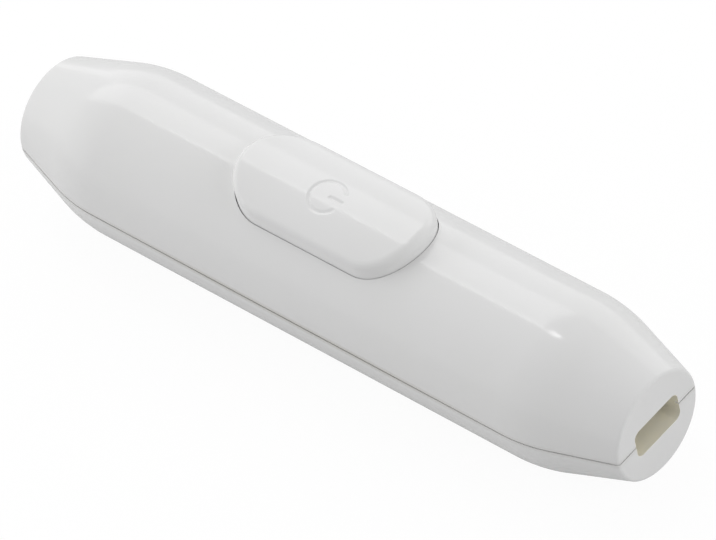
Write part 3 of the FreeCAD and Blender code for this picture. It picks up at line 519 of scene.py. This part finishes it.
# Shank: sides and steps, and shares of its radius or length, or of its core's radius
SHANK_SIDES = 32
SHANK_CORE = 0.76
SHANK_IN_HEAD = 0.1
TIP_BEVEL = 0.5
TIP_STEPS = 2

# Thread: steps a turn, multiples of its pitch, and the share of the core's radius where it starts
THREAD_STEPS = 28
THREAD_SHORTER = 2
THREAD_START = 1.2
THREAD_ROOT = 0.38
THREAD_CREST = 0.06
THREAD_SET = 0.92
SCREW_SHARP_DEGREES = 35


def shape_head(bm, radius, height):
    bmesh.ops.create_cone(
        bm, cap_ends=True, segments=HEAD_SIDES, radius1=radius, radius2=radius, depth=height,
        matrix=Matrix.Translation((0, 0, height / 2)))

    def at_top(place):
        return place.z > height - CLOSE

    rim = [edge for edge in bm.edges if all(at_top(vert.co) for vert in edge.verts)]
    bmesh.ops.bevel(bm, geom=rim, offset=RIM_ROUNDING * height, segments=RIM_STEPS, profile=0.5,
                    affect="EDGES", material=-1)
    arm = CROSS_ARM * radius
    blade = CROSS_BLADE * radius
    for limit in (-arm, -blade, blade, arm):
        for direction in ((1, 0, 0), (0, 1, 0)):
            top = [face for face in bm.faces if at_top(face.calc_center_median())]
            cut_faces(bm, top, Vector(direction) * limit, direction)
    cross = []
    for face in bm.faces:
        middle = face.calc_center_median()
        near, far = sorted((abs(middle.x), abs(middle.y)))
        if at_top(middle) and near < blade and far < arm:
            cross.append(face)
    sunk = bmesh.ops.extrude_face_region(bm, geom=cross)["geom"]
    sunk_verts = [item for item in sunk if isinstance(item, bmesh.types.BMVert)]
    left_above = [face for face in cross if face.is_valid]
    bmesh.ops.delete(bm, geom=left_above, context="FACES_ONLY")
    bmesh.ops.scale(bm, vec=(CROSS_TAPER, CROSS_TAPER, 1), verts=sunk_verts)
    bmesh.ops.translate(bm, vec=(0, 0, -CROSS_DEPTH * height), verts=sunk_verts)


def shape_shank(bm, radius, length, pitch):
    core = SHANK_CORE * radius
    overlap = SHANK_IN_HEAD * length
    made = bmesh.ops.create_cone(
        bm, cap_ends=True, segments=SHANK_SIDES, radius1=core, radius2=core,
        depth=length + overlap, matrix=Matrix.Translation((0, 0, (overlap - length) / 2)))
    end = {vert for vert in made["verts"] if vert.co.z < CLOSE - length}
    tip = [edge for edge in bm.edges if all(vert in end for vert in edge.verts)]
    bmesh.ops.bevel(bm, geom=tip, offset=TIP_BEVEL * core, segments=TIP_STEPS, profile=0.5,
                    affect="EDGES", material=-1)
    turns = (length - THREAD_SHORTER * pitch) / pitch
    steps = int(THREAD_STEPS * turns)
    low = -length + THREAD_START * pitch
    inside = THREAD_SET * core
    root = THREAD_ROOT * pitch
    crest = THREAD_CREST * pitch
    profile = ((inside, 0, low - root), (radius, 0, low - crest),
               (radius, 0, low + crest), (inside, 0, low + root))
    ridge = [bm.verts.new(place) for place in profile]
    ring = [bm.edges.new(ends) for ends in zip(ridge, ridge[1:] + ridge[:1])]
    bmesh.ops.spin(
        bm, geom=[*ridge, *ring], cent=(0, 0, 0), axis=(0, 0, 1),
        dvec=(0, 0, pitch * turns / steps), angle=2 * math.pi * turns, steps=steps, use_merge=False)
    bmesh.ops.holes_fill(bm, edges=[edge for edge in bm.edges if edge.is_boundary], sides=0)


def build_screws(node_name, head_diameter, head_height, shank_diameter, pitch,
                 rows=1, head_down=False):
    """All the screws of one kind, at the places that the node's box gives."""
    low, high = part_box(node_name)
    radius = head_diameter / 2
    length = high.z - low.z - head_height
    bm = bmesh.new()
    shape_head(bm, radius, head_height)
    shape_shank(bm, shank_diameter / 2, length, pitch)
    bmesh.ops.recalc_face_normals(bm, faces=bm.faces)
    one = mesh_from(bm, node_name + "_one")
    seat = low.z + head_height if head_down else high.z - head_height
    turn = Matrix.Rotation(math.pi if head_down else 0, 4, "X")
    lines = [(low.y + high.y) / 2] if rows == 1 else [low.y + radius, high.y - radius]
    bm = bmesh.new()
    for x in (low.x + radius, high.x - radius):
        for y in lines:
            count = len(bm.verts)
            bm.from_mesh(one)
            bm.verts.ensure_lookup_table()
            place = Matrix.Translation((x, y, seat)) @ turn
            bmesh.ops.transform(bm, matrix=place, verts=bm.verts[count:])
    bpy.data.meshes.remove(one)
    mesh = mesh_from(bm, node_name)
    shade_by_angle(mesh, SCREW_SHARP_DEGREES)
    finish_piece(mesh, node_name, "housing", "plated_steel")


build_button()
build_spring()
build_screws("cover_screws", head_diameter=4.6 * MM, head_height=1.7 * MM,
             shank_diameter=2.5 * MM, pitch=0.9 * MM, head_down=True)
build_screws("terminal_screws", head_diameter=3.8 * MM, head_height=1.5 * MM,
             shank_diameter=2.4 * MM, pitch=0.45 * MM, rows=2)
build_screws("clamp_screws", head_diameter=3.4 * MM, head_height=1.3 * MM,
             shank_diameter=2.0 * MM, pitch=0.7 * MM, rows=2)
build_screws("cradle_screws", head_diameter=2.8 * MM, head_height=1.0 * MM,
             shank_diameter=1.6 * MM, pitch=0.6 * MM)


# Studio

CAMERA_AZIMUTH = math.radians(50.85)
CAMERA_ELEVATION = math.radians(47.41)
CAMERA_ROLL = math.radians(-14.29)
CAMERA_DISTANCE = 918.7 * MM
CAMERA_LENS = 372.9
CAMERA_REACH = 10
AIM_RIGHT = 0.97 * MM
AIM_DOWN = 0.81 * MM

# Floor: half its width, how far it is below the switch, its surface, and its share of even white
FLOOR_HALF = 2.0
FLOOR_DROP = 0.05 * MM
FLOOR_COLOR = (0.75, 0.75, 0.75, 1)
FLOOR_ROUGHNESS = 0.9
FLOOR_GLOW = 1.04
FLOOR_WHITENESS = 0.9
FLOOR_MIRRORED = 0.12

# Brightness of the surroundings as a light, where 1 is white
FILL = 0.485

# Lamps: middle, the way each faces, width, depth, brightness, turn, and whether the gloss shows it
DOWN = (0, 0, -1)
STREAK_TURN = math.radians(-9)
LAMPS = {
    "back_softbox": ((-1.16, 0.715, 1.0), DOWN, 1.48, 1.0, 1.4, 0, True),
    "back_wall": ((-0.8, 1.25, 0.5), (0, -1, 0), 2.4, 1.0, 0.49, 0, True),
    "streak_lamp": ((-0.43, 0.185, 0.98), DOWN, 0.5, 0.03, 4.0, STREAK_TURN, True),
    "glint_lamp": ((-0.235, 0.162, 0.98), DOWN, 0.13, 0.075, 8.0, STREAK_TURN, True),
    "left_panel": ((-0.8, -0.38, 0.25), (0.8, 0.38, -0.25), 0.7, 0.52, 2.6, 0, False),
    "right_panel": ((1.3, 0.45, 0.65), (-1.3, -0.45, -0.65), 1.0, 0.9, 1.9, 0, False),
}


def add_camera():
    """A long lens, looking down on the button and the right end."""
    turn = Vector((math.cos(CAMERA_AZIMUTH), math.sin(CAMERA_AZIMUTH), 0))
    level = math.cos(CAMERA_ELEVATION)
    back = Vector((math.sin(CAMERA_AZIMUTH) * level, -math.cos(CAMERA_AZIMUTH) * level,
                   math.sin(CAMERA_ELEVATION)))
    right = turn * math.cos(CAMERA_ROLL) + back.cross(turn) * math.sin(CAMERA_ROLL)
    up = back.cross(right)
    camera = bpy.data.objects.new("camera", bpy.data.cameras.new("camera"))
    camera.data.lens = CAMERA_LENS
    camera.data.clip_end = CAMERA_REACH
    camera.matrix_world = Matrix((right, up, back)).transposed().to_4x4()
    aim = AXIS_MIDDLE + right * AIM_RIGHT - up * AIM_DOWN
    camera.location = aim + back * CAMERA_DISTANCE
    bpy.context.scene.collection.objects.link(camera)
    bpy.context.scene.camera = camera


def seen_directly(tree, mirrored):
    """1 for rays from the camera, and the given share for those from a mirror or a clear surface."""
    path = tree.nodes.new("ShaderNodeLightPath")
    second = calculate(
        tree, "MAXIMUM", path.outputs["Is Glossy Ray"], path.outputs["Is Transmission Ray"])
    second = calculate(tree, "MULTIPLY", second, mirrored)
    return calculate(tree, "MAXIMUM", path.outputs["Is Camera Ray"], second)


def add_floor():
    """A pale floor that keeps the shadow of the switch."""
    bm = bmesh.new()
    bmesh.ops.create_grid(bm, x_segments=1, y_segments=1, size=FLOOR_HALF,
                          matrix=Matrix.Translation((0, 0, -FLOOR_DROP)))
    mesh = mesh_from(bm, "floor")
    floor = bpy.data.objects.new("floor", mesh)
    bpy.context.scene.collection.objects.link(floor)
    material, tree, shader = new_material("floor_white")
    shader.inputs["Base Color"].default_value = FLOOR_COLOR
    shader.inputs["Roughness"].default_value = FLOOR_ROUGHNESS
    glow = tree.nodes.new("ShaderNodeEmission")
    glow.inputs["Strength"].default_value = FLOOR_GLOW
    mix = tree.nodes.new("ShaderNodeMixShader")
    share = calculate(tree, "MULTIPLY", seen_directly(tree, FLOOR_MIRRORED), FLOOR_WHITENESS)
    tree.links.new(share, mix.inputs["Fac"])
    tree.links.new(shader.outputs[0], mix.inputs[1])
    tree.links.new(glow.outputs[0], mix.inputs[2])
    tree.links.new(mix.outputs[0], tree.nodes["Material Output"].inputs["Surface"])
    mesh.materials.append(material)


def add_world():
    """White surroundings, which light the switch with less than they show."""
    world = bpy.data.worlds.new("studio")
    world.use_nodes = True
    tree = world.node_tree
    background = tree.nodes["Background"]
    background.inputs["Color"].default_value = (1, 1, 1, 1)
    direct = seen_directly(tree, 1)
    strength = calculate(tree, "MULTIPLY_ADD", direct, 1 - FILL, FILL)
    tree.links.new(strength, background.inputs["Strength"])
    bpy.context.scene.world = world


def add_lamp(name, middle, facing, width, depth, radiance, turn, mirrored):
    """A soft rectangular lamp of even brightness, turned about the way it faces."""
    light = bpy.data.lights.new(name, "AREA")
    light.shape = "RECTANGLE"
    light.size = width
    light.size_y = depth
    light.energy = radiance * math.pi * width * depth
    lamp = bpy.data.objects.new(name, light)
    aim = Vector(facing).to_track_quat("-Z", "Y").to_matrix().to_4x4()
    lamp.matrix_world = Matrix.Translation(middle) @ aim @ Matrix.Rotation(turn, 4, "Z")
    lamp.visible_glossy = mirrored
    bpy.context.scene.collection.objects.link(lamp)


add_camera()
add_floor()
add_world()
for lamp_name, lamp_values in LAMPS.items():
    add_lamp(lamp_name, *lamp_values)
bpy.context.scene.view_settings.view_transform = "Standard"
